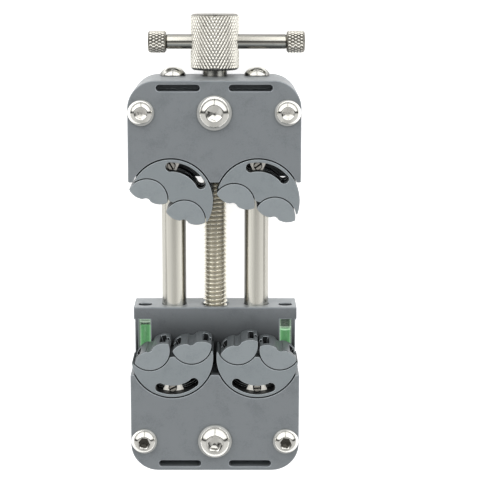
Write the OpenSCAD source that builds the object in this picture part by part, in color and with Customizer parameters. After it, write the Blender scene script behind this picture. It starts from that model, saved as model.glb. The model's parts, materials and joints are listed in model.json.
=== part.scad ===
// Fractal vise: a small aluminium vise whose jaws are nested half-discs.
// A fixed head carries two guide rods and a lead screw, and the slide runs on the rods.
// Each jaw plate holds two rockers, and each rocker holds two small lobed jaws, which
// turn to follow the outline of whatever is gripped.
// The vise lies on its flat underside. +Y points along the screw to the knob, +Z out of
// the jaw plates, and the origin is on the underside, below the middle of the head.

/* [Blocks] */
// Width of the head, of the slide and of their jaw plates
body_w = 68; // [64:1:76]
// Thickness of the two base blocks
base_h = 18; // [17:0.5:22]
// Thickness of the two jaw plates
plate_h = 18; // [16:0.5:22]
// Length of the head and of each jaw plate
plate_l = 40; // [38:1:50]
// Radius of the outer corners
corner_r = 11; // [5:0.5:14]
// Opening between the head and the front of the slide
opening = 54.3; // [48:0.1:56]
// Length of the slide's apron, which reaches in front of its jaw plate
apron_l = 23.9; // [23:0.1:28]
// Length of the flange at the front of the apron
flange_l = 5.1; // [4:0.1:7]
// How far each side of the flange stands in from the side of the slide
flange_in = 0.5; // [0.2:0.1:1]
// How far each side of the apron behind the flange stands in from the flange
waist_in = 0.5; // [0.2:0.1:1]
// Length of the waist behind the flange
waist_l = 18; // [14:0.5:18.5]

/* [Rockers] */
// Gap between the rims of the two rockers of a jaw plate
rim_gap = 1.2; // [1:0.1:2]
// Gap between a rocker and its recess
rocker_gap = 0.4; // [0.3:0.05:0.5]
// How far the rockers' centres lie beyond the edge of the jaw plate
rocker_out = 7.3; // [6.5:0.1:8]
// How far a rocker's flat lies beyond its own centre
rocker_flat = 0.3; // [0:0.1:1]
// Gap between the base and the rockers and jaws that glide over it
glide_gap = 0.2; // [0.1:0.05:0.4]
// Distance of the middle of a rocker's curved slot from its rim
arc_slot_in = 3; // [2.8:0.1:3.3]
// Width of a rocker's curved slot
arc_slot_w = 3.5; // [3:0.1:4]
// Angle from the middle of a rocker's curved slot to the middle of its round end
arc_slot_turn = 31; // [20:0.5:34]
// How far the bores in which a curved slot ends reach beyond its sides
arc_slot_end = 0.05; // [0.03:0.01:0.1]
// Tilts of the head's two rockers, from left to right, counter-clockwise from above
head_rocker_tilts = [-29.8, -18.6]; // [-31:0.1:31]
// Tilts of the slide's two rockers, from left to right
slide_rocker_tilts = [9, -7.3]; // [-31:0.1:31]

/* [Small jaws] */
// Gap between a small jaw and its recess
jaw_gap = 0.3; // [0.2:0.05:0.4]
// Least distance between the circles of the two recesses of a rocker
jaw_web = 0.1; // [0.05:0.05:0.2]
// How far the small jaws' centres lie beyond the flat of the rocker
jaw_out = 3.95; // [3.6:0.05:4]
// Radius of the two lobes that grip
lobe_r = 6.8; // [6:0.1:8]
// Distance of the lobes' middles from the middle of the small jaw
lobe_x = 3.15; // [2.8:0.05:3.8]
// How far the lobes stand out beyond the small jaw's centre
lobe_rise = 0.55; // [0.3:0.05:1.5]
// Radius of the notch between the lobes
notch_r = 1.95; // [1.5:0.05:2.2]
// Depth of the notch below the crests of the lobes
notch_d = 0.95; // [0.9:0.05:1.3]
// Tilts of the head's four small jaws in their rockers, from left to right
head_jaw_tilts = [10.5, 14, -2.9, 0.4]; // [-30:0.1:30]
// Tilts of the slide's four small jaws in their rockers, from left to right
slide_jaw_tilts = [21.5, 0.5, 27.9, -14.1]; // [-30:0.1:30]

/* [Keys] */
// Thickness of the tongues on which the rockers turn
tongue_h = 6; // [4:0.5:8]
// Width of a tongue at its tip
tongue_tip_w = 3.6; // [3.5:0.1:5]
// Width of a tongue at the wall of the recess
tongue_root_w = 8.8; // [8:0.1:9.5]
// Depth of a tongue's root in the jaw plate
tongue_root_l = 4; // [3:0.5:6]
// Gap round a tongue in its rocker's groove
tongue_gap = 0.3; // [0.2:0.05:0.4]
// Angle from the middle of a rocker's groove to each end of it
groove_turn = 49; // [48:0.5:52]
// How much further in a rocker's groove reaches than its curved slot
groove_lip = 0.85; // [0.4:0.05:1]
// Radius of the pins that hold the rockers on their tongues
pin_r = 1.7; // [1.2:0.05:1.7]
// Distance from each end of a pin to the nearer face of the rocker
pin_in = 2.9; // [1:0.1:3.5]
// Wall between a small jaw's rim and its T-slot
tee_wall = 1.3; // [1:0.1:1.5]
// Width of the T-slot's head
tee_w = 2.3; // [1.8:0.1:2.5]
// Height of the T-slot's head
tee_h = 12; // [8:0.5:13]
// Height of the T-slot's neck
neck_h = 4; // [3:0.5:5]
// Gap round a jaw key in its T-slot
tee_gap = 0.2; // [0.15:0.05:0.3]
// Width of a jaw key
jaw_key_w = 2.8; // [2:0.1:3.2]
// Depth of a jaw key's root in its rocker
jaw_key_root = 1.5; // [1:0.1:1.6]

/* [Rods and lead screw] */
// Height of the rods' and the lead screw's axes above the underside
axis_z = 10; // [9.9:0.1:11]
// Radius of the guide rods
rod_r = 5; // [4:0.1:6]
// How deep the guide rods are seated in the head
rod_seat = 30; // [24:1:32]
// How far the guide rods reach into the slide
rod_reach = 18.7; // [15:0.1:24]
// Radius of the lead screw over its thread
screw_r = 5; // [4.5:0.1:5.5]
// How far the lead screw reaches into the slide
screw_reach = 20.7; // [16:0.1:26]
// Clearance round every rod, screw and bar in its bore
run_gap = 0.05; // [0.03:0.01:0.1]
// Width of the countersink at the mouth of the lead screw's bores
sink_w = 0.8; // [0.4:0.1:1.2]
// Radius of the lead screw's neck, in which the head's centre screw keeps it
neck_r = 3.5; // [3:0.1:4]

/* [Knob and bar] */
// Radius of the knob
knob_r = 9.8; // [9:0.1:9.8]
// Length of the knob
knob_l = 22.3; // [18:0.1:26]
// Distance of the knob from the head
knob_off = 2.5; // [1:0.1:5]
// Width of the knob's chamfers
knob_edge = 1.2; // [0.5:0.1:2]
// How deep the lead screw is seated in the knob
knob_seat = 7; // [5:0.1:7.4]
// Radius of the bar through the knob
bar_r = 3; // [2.5:0.1:3.3]
// Length of the bar between its caps
bar_l = 48.3; // [40:0.1:56]
// How far the bar lies off centre, to the right
bar_shift = 4.65; // [-6:0.05:6]
// Radius of the caps on the bar
cap_r = 4.5; // [4:0.1:5.5]
// Length of the caps on the bar
cap_l = 7.4; // [6:0.1:9]
// Width of the caps' chamfers
cap_edge = 0.7; // [0.3:0.1:1.2]
// Radius of the spigots on which the caps sit
spigot_r = 2; // [1.5:0.1:2.3]
// Length of the spigots
spigot_l = 5; // [3:0.1:5.4]

/* [Screws] */
// Distance of the plate screws from the outer ends of the head and the slide
screw_in = 12.5; // [11:0.1:14]
// Distance of the outer plate screws from the sides of the head and the slide
outer_screw_side = 5.4; // [5.3:0.1:6.5]
// Radius of the centre screws
centre_shank_r = 4; // [3.5:0.1:4.2]
// Radius of the centre screws' heads
centre_head_r = 7; // [6:0.1:8]
// Height of the centre screws' heads
centre_head_h = 4.4; // [3.5:0.1:5]
// Width across the flats of the centre screws' sockets
centre_socket = 5; // [4:0.1:5.5]
// Radius of the outer screws and of the rods' end screws
outer_shank_r = 3; // [2.5:0.1:3.2]
// Radius of their heads
outer_head_r = 5.25; // [4.5:0.05:5.3]
// Height of their heads
outer_head_h = 3.3; // [2.8:0.1:3.8]
// Width across the flats of their sockets
outer_socket = 4; // [3:0.1:4.4]
// How deep the outer plate screws reach into the bases
outer_screw_l = 12; // [8:0.5:15]
// How deep the end screws reach into the rods
end_screw_l = 10; // [8:0.5:20]
// Clearance round the screws in their through holes
screw_gap = 0.25; // [0.1:0.05:0.4]
// Radius of the dog point of the head's centre screw
dog_r = 2.5; // [2:0.1:3]
// Clearance round the dog point in the lead screw's neck
dog_gap = 0.2; // [0.1:0.05:0.3]

/* [Slots and levels] */
// Length of the oblong pockets in the jaw plates
pocket_l = 17; // [12:0.5:18]
// Width of the pockets
pocket_w = 2.5; // [2:0.1:3]
// Depth of the pockets
pocket_d = 8; // [4:0.5:12]
// Distance of the pockets' middles from the outer end of their plate
pocket_in = 2.9; // [2.5:0.1:3.2]
// Distance of the pockets' middles from the centre line
pocket_x = 14.2; // [12:0.1:15]
// Radius of the level vials
vial_r = 2.7; // [2.3:0.05:2.8]
// Length of the level vials
vial_l = 16; // [12:0.5:17]
// Distance of the vials from the sides of the slide
vial_side = 5; // [5:0.1:6.5]
// Height of the vials' axes above the underside
vial_z = 11.8; // [10:0.1:13]
// Width of the windows over the vials
window_w = 4.8; // [4:0.1:5]
// Radius of the bore of the vials
vial_bore_r = 1.7; // [1.2:0.05:1.9]
// Length of the plugs that seal the vials
plug_l = 1.5; // [1:0.1:2.5]
// Length of the bubbles in the left and the right vial
bubble_ls = [2, 3.4]; // [1:0.1:5]

/* [Hidden] */
$fn = 96;

// One overrun serves all cuts
over = 1;
// The corners of a hexagon
hex = 6;

// Places along Y
head_edge_y = -plate_l / 2;
head_end_y = plate_l / 2;
slide_front_y = head_edge_y - opening;
slide_edge_y = slide_front_y - apron_l;
slide_end_y = slide_edge_y - plate_l;
rod_top_y = head_edge_y + rod_seat;
rod_l = rod_seat + opening + rod_reach;
knob_y = head_end_y + knob_off;
bar_y = knob_y + knob_l / 2;
neck_y = head_end_y - screw_in;

// Places along X; the rods lie half way between the centre line and the sides
rod_x = body_w / 4;
outer_screw_x = body_w / 2 - outer_screw_side;
vial_x = body_w / 2 - vial_side;

// Heights
top_z = base_h + plate_h;
mid_z = base_h + plate_h / 2;
glide_z = base_h + glide_gap;
glide_h = plate_h - glide_gap;

// Rockers: two rims and their gaps fill the width of the body
rocker_r = (body_w / 2 - rim_gap / 2 - rocker_gap) / 2;
rocker_x = rocker_r + rim_gap / 2;
recess_r = rocker_r + rocker_gap;
arc_slot_r = rocker_r - arc_slot_in;
groove_h = tongue_h + 2 * tongue_gap;
groove_r = arc_slot_r - arc_slot_w / 2 - groove_lip;
tongue_tip_r = groove_r + tongue_gap;

// Small jaws: their recess is half as large as the recess that holds the rocker
jaw_recess_r = recess_r / 2;
jaw_r = jaw_recess_r - jaw_gap;
jaw_x = jaw_recess_r + jaw_web / 2;
jaw_y = rocker_flat + jaw_out;
lobe_y = lobe_rise - lobe_r;
tee_out_r = jaw_r - tee_wall;
tee_in_r = tee_out_r - tee_w;

// Screws
outer_seat_l = head_end_y - rod_top_y;
centre_tip_z = axis_z + screw_r + 2 * run_gap;
dog_l = centre_tip_z - axis_z - neck_r - dog_gap;
// Height of a button head's rim and radius of its flat crown, as shares of the head
rim_share = 0.2;
crown_share = 0.52;
socket_share = 0.6;

// Shares of a colour's red, green and blue
plate_shares = [0.5, 0.52, 0.54];
jaw_shares = [0.58, 0.61, 0.62];
steel_shares = [0.78, 0.77, 0.73];
green_shares = [0.4, 0.72, 0.45];
glass_share = 0.4;

// Moves what is drawn in a jaw plate's own frame, in which +y leads to the opening
module on_head() translate([0, head_edge_y, 0]) rotate(180) children();
module on_slide() translate([0, slide_edge_y, 0]) children();

// Moves to a rocker's centre, or on to a small jaw's centre in it; side is -1 or 1
module at_rocker(side, tilt) translate([side * rocker_x, rocker_out, 0]) rotate(tilt) children();
module at_jaw(side, tilt) translate([side * jaw_x, jaw_y, 0]) rotate(tilt) children();

// Turns what stands along +z to lie along +Y at the height of the rods
module along_y(x, y) translate([x, y, axis_z]) rotate([-90, 0, 0]) children();

// A rod along +z with a chamfer at each end
module edged_rod(r, l, edge) rotate_extrude()
    polygon([[0, 0], [r - edge, 0], [r, edge], [r, l - edge], [r - edge, l], [0, l]]);

// A block from y0 to y1 with rounded corners at its y0 end
module block_outline(w, y0, y1) {
    translate([-w / 2, y0 + corner_r]) square([w, y1 - y0 - corner_r]);
    translate([corner_r - w / 2, y0]) square([w - 2 * corner_r, corner_r]);
    for (side = [-1, 1]) translate([side * (w / 2 - corner_r), y0 + corner_r]) circle(r = corner_r);
}

// A wedge with its point at the centre, turn degrees to each side of -y
module wedge(turn) polygon([
    [0, 0],
    2 * rocker_r * [sin(turn), -cos(turn)],
    2 * rocker_r * [-sin(turn), -cos(turn)]
]);

// A button-head screw whose head rests on z = 0 and whose shank hangs below it
module button_screw(head_r, head_h, shank_r, shank_l, socket) {
    rim_h = rim_share * head_h;
    crown_r = crown_share * head_r;
    dome_z = (pow(head_r, 2) - pow(crown_r, 2) + pow(rim_h, 2) - pow(head_h, 2))
        / (2 * (rim_h - head_h));
    dome_r = sqrt(pow(head_r, 2) + pow(rim_h - dome_z, 2));
    difference() {
        intersection() {
            cylinder(r = head_r, h = head_h);
            translate([0, 0, dome_z]) sphere(r = dome_r);
        }
        translate([0, 0, head_h * (1 - socket_share)])
            cylinder(r = socket / sqrt(3), h = head_h, $fn = hex);
    }
    translate([0, 0, -shank_l]) cylinder(r = shank_r, h = shank_l);
}

module centre_screw(shank_l)
    button_screw(centre_head_r, centre_head_h, centre_shank_r, shank_l, centre_socket);

module outer_screw(shank_l)
    button_screw(outer_head_r, outer_head_h, outer_shank_r, shank_l, outer_socket);

// The holes that the plate screws need, in a jaw plate's own frame
module plate_screw_places() {
    for (side = [-1, 1]) translate([side * outer_screw_x, screw_in - plate_l, 0]) children();
}

module tapped_holes(centre_depth) {
    translate([0, screw_in - plate_l, base_h - centre_depth])
        cylinder(r = centre_shank_r + run_gap, h = centre_depth + over);
    plate_screw_places() translate([0, 0, base_h - outer_screw_l])
        cylinder(r = outer_shank_r + run_gap, h = outer_screw_l + over);
}

// A bore along Y for the lead screw, with a countersink at its y1 end
module screw_bore(y0, y1) {
    along_y(0, y0 - over) cylinder(r = screw_r + run_gap, h = y1 - y0 + 2 * over);
    along_y(0, y1 - sink_w) cylinder(r1 = screw_r, r2 = screw_r + sink_w, h = sink_w);
}

module head_base() color(plate_shares) difference() {
    on_head() linear_extrude(base_h) block_outline(body_w, -plate_l, 0);
    screw_bore(head_edge_y, head_end_y);
    for (side = [-1, 1]) {
        along_y(side * rod_x, head_edge_y - over) cylinder(r = rod_r, h = rod_seat + over);
        along_y(side * rod_x, rod_top_y - over)
            cylinder(r = outer_shank_r + screw_gap, h = outer_seat_l + 2 * over);
    }
    on_head() tapped_holes(base_h - axis_z);
}

module slide_base() {
    flange_w = body_w - 2 * flange_in;
    waist_w = flange_w - 2 * waist_in;
    window_y = slide_front_y - flange_l - vial_l;
    color(plate_shares) difference() {
        linear_extrude(base_h) {
            block_outline(body_w, slide_end_y, slide_front_y - flange_l - waist_l);
            translate([-waist_w / 2, slide_edge_y - over])
                square([waist_w, apron_l + over - flange_l / 2]);
            translate([-flange_w / 2, slide_front_y - flange_l]) square([flange_w, flange_l]);
        }
        screw_bore(slide_end_y, slide_front_y);
        for (side = [-1, 1]) {
            along_y(side * rod_x, slide_end_y - over)
                cylinder(r = rod_r + run_gap, h = slide_front_y - slide_end_y + 2 * over);
            translate([side * vial_x, window_y, vial_z]) rotate([-90, 0, 0])
                cylinder(r = vial_r + run_gap, h = vial_l + flange_l + over);
            translate([side * vial_x - window_w / 2, window_y, vial_z])
                cube([window_w, vial_l, base_h - vial_z + over]);
        }
        on_slide() tapped_holes(base_h - axis_z);
    }
}

// A tongue's outline, in its rocker's frame
module tongue_outline() polygon([
    [-tongue_tip_w / 2, -tongue_tip_r], [tongue_tip_w / 2, -tongue_tip_r],
    [tongue_root_w / 2, -recess_r], [tongue_root_w / 2, -recess_r - tongue_root_l],
    [-tongue_root_w / 2, -recess_r - tongue_root_l], [-tongue_root_w / 2, -recess_r]
]);

module tongue_blank() translate([0, 0, mid_z - tongue_h / 2])
    linear_extrude(tongue_h) tongue_outline();

// A jaw plate in its own frame, with the recesses, the pockets and the screws' holes
module jaw_plate() difference() {
    translate([0, 0, base_h]) linear_extrude(plate_h) difference() {
        block_outline(body_w, -plate_l, 0);
        for (side = [-1, 1]) translate([side * rocker_x, rocker_out]) circle(r = recess_r);
        translate([0, screw_in - plate_l]) circle(r = centre_shank_r + screw_gap);
        plate_screw_places() circle(r = outer_shank_r + screw_gap);
    }
    for (side = [-1, 1]) {
        translate([side * pocket_x, pocket_in - plate_l, top_z - pocket_d])
            linear_extrude(pocket_d + over) {
                square([pocket_l - pocket_w, pocket_w], center = true);
                for (end = [-1, 1]) translate([end * (pocket_l - pocket_w) / 2, 0])
                    circle(r = pocket_w / 2);
            }
        at_rocker(side, 0) tongue_blank();
    }
}

module head_jaw_plate() color(plate_shares) on_head() jaw_plate();
module slide_jaw_plate() color(plate_shares) on_slide() jaw_plate();

module rocker_tongues() for (side = [-1, 1]) at_rocker(side, 0) difference() {
    tongue_blank();
    translate([0, -arc_slot_r, base_h]) cylinder(r = pin_r, h = plate_h);
}

module head_rocker_tongues() color(steel_shares) on_head() rocker_tongues();
module slide_rocker_tongues() color(steel_shares) on_slide() rocker_tongues();

module tongue_pins() for (side = [-1, 1]) at_rocker(side, 0)
    translate([0, -arc_slot_r, glide_z + pin_in])
    cylinder(r = pin_r, h = glide_h - 2 * pin_in);

module head_tongue_pins() color(steel_shares) on_head() tongue_pins();
module slide_tongue_pins() color(steel_shares) on_slide() tongue_pins();

module rocker_outline() difference() {
    intersection() {
        circle(r = rocker_r);
        translate([-rocker_r, -rocker_r]) square([2 * rocker_r, rocker_r + rocker_flat]);
    }
    for (side = [-1, 1]) translate([side * jaw_x, jaw_y]) circle(r = jaw_recess_r);
}

module arc_slot_outline() {
    intersection() {
        difference() {
            circle(r = arc_slot_r + arc_slot_w / 2);
            circle(r = arc_slot_r - arc_slot_w / 2);
        }
        wedge(arc_slot_turn);
    }
    for (side = [-1, 1]) rotate(side * arc_slot_turn) translate([0, -arc_slot_r])
        circle(r = arc_slot_w / 2 + arc_slot_end);
}

module groove_outline() intersection() {
    difference() {
        circle(r = rocker_r + over);
        circle(r = groove_r);
    }
    wedge(groove_turn);
}

// A jaw key's shank, from the head of its T-slot to the bottom of its root
module jaw_key_shank() translate([
    -jaw_key_w / 2,
    -jaw_recess_r - jaw_key_root,
    mid_z - neck_h / 2 + tee_gap
]) cube([
    jaw_key_w,
    jaw_recess_r + jaw_key_root - (tee_in_r + tee_out_r) / 2,
    neck_h - 2 * tee_gap
]);

module rocker() difference() {
    translate([0, 0, glide_z]) linear_extrude(glide_h) difference() {
        rocker_outline();
        arc_slot_outline();
    }
    translate([0, 0, mid_z - groove_h / 2]) linear_extrude(groove_h) groove_outline();
    for (side = [-1, 1]) at_jaw(side, 0) jaw_key_shank();
}

module jaw_keys() for (side = [-1, 1]) at_jaw(side, 0) {
    jaw_key_shank();
    translate([0, 0, mid_z - tee_h / 2 + tee_gap]) linear_extrude(tee_h - 2 * tee_gap)
        intersection() {
            difference() {
                circle(r = tee_out_r - tee_gap);
                circle(r = tee_in_r + tee_gap);
            }
            translate([-jaw_key_w / 2, -jaw_r]) square([jaw_key_w, jaw_r]);
        }
}

// The head's frame is turned half round, so its left rocker and jaws are on the +x side
module head_rocker(n) color(jaw_shares) on_head()
    at_rocker(1 - 2 * n, head_rocker_tilts[n]) rocker();
module slide_rocker(n) color(jaw_shares) on_slide()
    at_rocker(2 * n - 1, slide_rocker_tilts[n]) rocker();
module head_jaw_keys(n) color(steel_shares) on_head()
    at_rocker(1 - 2 * n, head_rocker_tilts[n]) jaw_keys();
module slide_jaw_keys(n) color(steel_shares) on_slide()
    at_rocker(2 * n - 1, slide_rocker_tilts[n]) jaw_keys();

module jaw_outline() difference() {
    intersection() {
        circle(r = jaw_r);
        union() {
            for (side = [-1, 1]) translate([side * lobe_x, lobe_y]) circle(r = lobe_r);
        }
    }
    translate([0, lobe_rise - notch_d + notch_r]) circle(r = notch_r);
}

module ring(r_in, r_out, z, h) translate([0, 0, z]) difference() {
    cylinder(r = r_out, h = h);
    translate([0, 0, -over]) cylinder(r = r_in, h = h + 2 * over);
}

module small_jaw() difference() {
    translate([0, 0, glide_z]) linear_extrude(glide_h) jaw_outline();
    ring(tee_in_r, tee_out_r, mid_z - tee_h / 2, tee_h);
    ring(tee_in_r, jaw_r + over, mid_z - neck_h / 2, neck_h);
}

module head_jaw(n) color(jaw_shares) on_head()
    at_rocker(1 - 2 * floor(n / 2), head_rocker_tilts[floor(n / 2)])
    at_jaw(1 - 2 * (n % 2), head_jaw_tilts[n]) small_jaw();
module slide_jaw(n) color(jaw_shares) on_slide()
    at_rocker(2 * floor(n / 2) - 1, slide_rocker_tilts[floor(n / 2)])
    at_jaw(2 * (n % 2) - 1, slide_jaw_tilts[n]) small_jaw();

module guide_rod(side) color(steel_shares) difference() {
    along_y(side * rod_x, rod_top_y - rod_l) edged_rod(rod_r, rod_l, sink_w);
    along_y(side * rod_x, rod_top_y - end_screw_l - over)
        cylinder(r = outer_shank_r + run_gap, h = end_screw_l + 2 * over);
}

module rod_end_screws() color(steel_shares)
    for (side = [-1, 1]) along_y(side * rod_x, head_end_y) outer_screw(outer_seat_l + end_screw_l);

module head_centre_screw() color(steel_shares) translate([0, neck_y, top_z]) {
    centre_screw(top_z - centre_tip_z);
    translate([0, 0, centre_tip_z - top_z - dog_l]) cylinder(r = dog_r, h = dog_l);
}

module slide_centre_screw() color(steel_shares)
    translate([0, slide_end_y + screw_in, top_z]) centre_screw(top_z - centre_tip_z);

module outer_screws() plate_screw_places() translate([0, 0, top_z])
    outer_screw(plate_h + outer_screw_l);

module head_outer_screws() color(steel_shares) on_head() outer_screws();
module slide_outer_screws() color(steel_shares) on_slide() outer_screws();

module lead_screw() {
    l = screw_reach + opening + plate_l + knob_off + knob_seat;
    neck_w = 2 * (dog_r + dog_gap);
    color(steel_shares) difference() {
        along_y(0, slide_front_y - screw_reach) edged_rod(screw_r, l, sink_w);
        translate([0, neck_y - neck_w / 2, axis_z]) rotate([-90, 0, 0])
            ring(neck_r, screw_r + over, 0, neck_w);
    }
}

module thumb_knob() color(steel_shares) difference() {
    along_y(0, knob_y) edged_rod(knob_r, knob_l, knob_edge);
    along_y(0, knob_y - over) cylinder(r = screw_r, h = knob_seat + over);
    translate([-knob_r - over, bar_y, axis_z]) rotate([0, 90, 0])
        cylinder(r = bar_r + run_gap, h = 2 * (knob_r + over));
}

// Turns what stands along +z to lie along +X on the bar's axis
module along_x(x) translate([x, bar_y, axis_z]) rotate([0, 90, 0]) children();

module tommy_bar() color(steel_shares) {
    along_x(bar_shift - bar_l / 2) cylinder(r = bar_r, h = bar_l);
    along_x(bar_shift - bar_l / 2 - spigot_l) cylinder(r = spigot_r, h = bar_l + 2 * spigot_l);
}

module bar_cap(side) color(steel_shares) difference() {
    along_x(bar_shift + side * (bar_l + cap_l) / 2 - cap_l / 2) edged_rod(cap_r, cap_l, cap_edge);
    along_x(bar_shift - bar_l / 2 - spigot_l) cylinder(r = spigot_r, h = bar_l + 2 * spigot_l);
}

module bar_cap_left() bar_cap(-1);
module bar_cap_right() bar_cap(1);

// Moves to the rear end of a vial, with +z along its axis to the front
module at_vial(side) translate([side * vial_x, slide_front_y - flange_l - vial_l, vial_z])
    rotate([-90, 0, 0]) children();

module vial_tube(side) color(green_shares, glass_share) at_vial(side) difference() {
    cylinder(r = vial_r, h = vial_l);
    translate([0, 0, -over]) cylinder(r = vial_bore_r, h = vial_l + over - plug_l);
}

module vial_plugs() color(green_shares) for (side = [-1, 1]) at_vial(side)
    cylinder(r = vial_bore_r, h = plug_l);

module vial_liquid(n) color(green_shares) at_vial(2 * n - 1) translate([0, 0, plug_l])
    cylinder(r = vial_bore_r, h = vial_l - 2 * plug_l - bubble_ls[n]);

head_base();
head_jaw_plate();
head_centre_screw();
head_outer_screws();
guide_rod(-1);  // guide_rod_left
guide_rod(1);  // guide_rod_right
rod_end_screws();
head_rocker_tongues();
head_tongue_pins();
lead_screw();
thumb_knob();
tommy_bar();
bar_cap_left();
bar_cap_right();
slide_base();
slide_jaw_plate();
slide_centre_screw();
slide_outer_screws();
slide_rocker_tongues();
slide_tongue_pins();
vial_tube(-1);  // vial_tube_left
vial_tube(1);  // vial_tube_right
vial_liquid(0);  // vial_liquid_left
vial_liquid(1);  // vial_liquid_right
vial_plugs();
head_rocker(0);  // head_rocker_left
head_rocker(1);  // head_rocker_right
slide_rocker(0);  // slide_rocker_left
slide_rocker(1);  // slide_rocker_right
head_jaw_keys(0);  // head_jaw_keys_left
head_jaw_keys(1);  // head_jaw_keys_right
slide_jaw_keys(0);  // slide_jaw_keys_left
slide_jaw_keys(1);  // slide_jaw_keys_right
head_jaw(0);  // head_jaw_1
head_jaw(1);  // head_jaw_2
head_jaw(2);  // head_jaw_3
head_jaw(3);  // head_jaw_4
slide_jaw(0);  // slide_jaw_1
slide_jaw(1);  // slide_jaw_2
slide_jaw(2);  // slide_jaw_3
slide_jaw(3);  // slide_jaw_4
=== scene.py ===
import json
from math import asin, cos, hypot, pi, radians, sin, sqrt, tau

import bmesh
import bpy
from mathutils import Euler, Matrix, Vector
from mathutils.bvhtree import BVHTree


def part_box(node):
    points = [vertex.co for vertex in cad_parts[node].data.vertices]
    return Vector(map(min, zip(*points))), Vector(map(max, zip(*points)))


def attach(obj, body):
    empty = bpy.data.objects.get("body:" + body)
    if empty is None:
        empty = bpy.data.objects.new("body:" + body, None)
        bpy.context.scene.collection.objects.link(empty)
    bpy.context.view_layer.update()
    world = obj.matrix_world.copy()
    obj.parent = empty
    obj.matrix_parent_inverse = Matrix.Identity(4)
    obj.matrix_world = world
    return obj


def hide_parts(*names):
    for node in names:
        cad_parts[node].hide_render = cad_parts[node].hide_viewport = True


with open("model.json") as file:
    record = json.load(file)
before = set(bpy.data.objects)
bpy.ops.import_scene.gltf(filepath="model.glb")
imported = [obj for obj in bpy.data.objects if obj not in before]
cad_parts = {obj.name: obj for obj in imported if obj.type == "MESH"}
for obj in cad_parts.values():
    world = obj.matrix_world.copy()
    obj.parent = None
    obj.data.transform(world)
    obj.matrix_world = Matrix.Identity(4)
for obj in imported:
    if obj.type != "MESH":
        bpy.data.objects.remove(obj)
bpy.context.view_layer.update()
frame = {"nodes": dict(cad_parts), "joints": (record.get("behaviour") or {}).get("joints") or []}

# Head: base block and jaw plate
# Two milled aluminium blocks, bead-blasted and anodised grey, with every edge broken.
# The plate lies on the base and carries two rockers; three button-head screws clamp the two.

MM = 0.001
# What counts as one point, as one plane, as a sharp edge and as a keen tip
MERGED = 0.001 * MM
COPLANAR = radians(0.4)
SHARP = radians(32)
KEEN = radians(95)
# A face looks along an axis if its normal's part there is over FLAT, and is a wall under STEEP
FLAT = 0.9
STEEP = 0.6
# A face farther than RIM from top and bottom lies inside. The way across the hollow in front
# of a face is measured up to HOLLOW, from just off the face
RIM = 1 * MM
HOLLOW = 6 * MM
RAY_START = HOLLOW / 100
TIP_STEPS = 4
EDGE_STEPS = 2
BLOCK_EDGE = 0.35 * MM
# The painted shade of a seat lies round a spot that is this much nearer the plate's middle
# each way than the rocker's pivot, so the edges of the web between two seats are shaded as well
SEAT_R = 17 * MM
SEAT_IN = 0.1 * MM
PLATE_GREY = (127, 132, 136)
# Painted highlight: the little flats of broken edges are a lighter grey
EDGE_HIGHLIGHT_GREY = (150, 156, 161)
# Painted shade: the dark grey of the rockers' seats and of the vials' bores and windows
RECESS_SHADE_GREY = (58, 61, 64)


def paint(red, green, blue):
    """The shader's value of a colour that is given as it looks, in parts of 255."""
    def one(part):
        share = part / 255
        return share / 12.92 if share <= 0.04045 else ((share + 0.055) / 1.055) ** 2.4
    return (one(red), one(green), one(blue), 1)


def joined(tree, kind, feeds=None, out=0, **settings):
    """A new node with its settings made and its inputs set or linked; returns one output."""
    node = tree.nodes.new(kind)
    for name, value in settings.items():
        setattr(node, name, value)
    for key, feed in (feeds or {}).items():
        if isinstance(feed, bpy.types.NodeSocket):
            tree.links.new(feed, node.inputs[key])
        else:
            node.inputs[key].default_value = feed
    return node.outputs[out]


def reckoned(tree, operation, *values):
    """One step of arithmetic on numbers and outputs of nodes."""
    return joined(tree, "ShaderNodeMath", dict(enumerate(values)), operation=operation)


def parts_of(tree, kind="Object"):
    """The x, y and z part of a point's place, or of another kind of coordinate."""
    split = tree.nodes.new("ShaderNodeSeparateXYZ")
    tree.links.new(joined(tree, "ShaderNodeTexCoord", out=kind), split.inputs[0])
    return split.outputs


def speckle(tree, scale, detail, stretch=(1, 1, 1)):
    """Noise on object coordinates, drawn out along an axis where stretch is small."""
    place = joined(tree, "ShaderNodeTexCoord", out="Object")
    turned = joined(tree, "ShaderNodeMapping", {"Vector": place, "Scale": stretch})
    return joined(tree, "ShaderNodeTexNoise",
                  {"Vector": turned, "Scale": scale, "Detail": detail, "Roughness": 0.6})


def between(tree, value, low, high, start=0.35, stop=0.65):
    """Goes from low to high while the value goes from start to stop, and stays there."""
    return joined(tree, "ShaderNodeMapRange", {
        "Value": value, "From Min": start, "From Max": stop, "To Min": low, "To Max": high})


def shaded(tree, value, dark, light, start=0.3, stop=0.7):
    """A colour from dark to light while the value goes from start to stop."""
    ramp = tree.nodes.new("ShaderNodeValToRGB")
    ramp.color_ramp.elements[0].position = start
    ramp.color_ramp.elements[0].color = dark
    ramp.color_ramp.elements[1].position = stop
    ramp.color_ramp.elements[1].color = light
    tree.links.new(value, ramp.inputs[0])
    return ramp.outputs[0]


def blank_finish(name):
    """A new material, its tree and its main shader."""
    finish = bpy.data.materials.new(name)
    finish.use_nodes = True
    return finish, finish.node_tree, finish.node_tree.nodes["Principled BSDF"]


def surfaced(tree, skin, colour, rough, relief, strength, depth, metal=1):
    """Gives a shader its colour, its roughness and a fine relief."""
    bump = joined(tree, "ShaderNodeBump",
                  {"Strength": strength, "Distance": depth, "Height": relief})
    tree.links.new(colour, skin.inputs["Base Color"])
    tree.links.new(rough, skin.inputs["Roughness"])
    tree.links.new(bump, skin.inputs["Normal"])
    skin.inputs["Metallic"].default_value = metal


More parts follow.
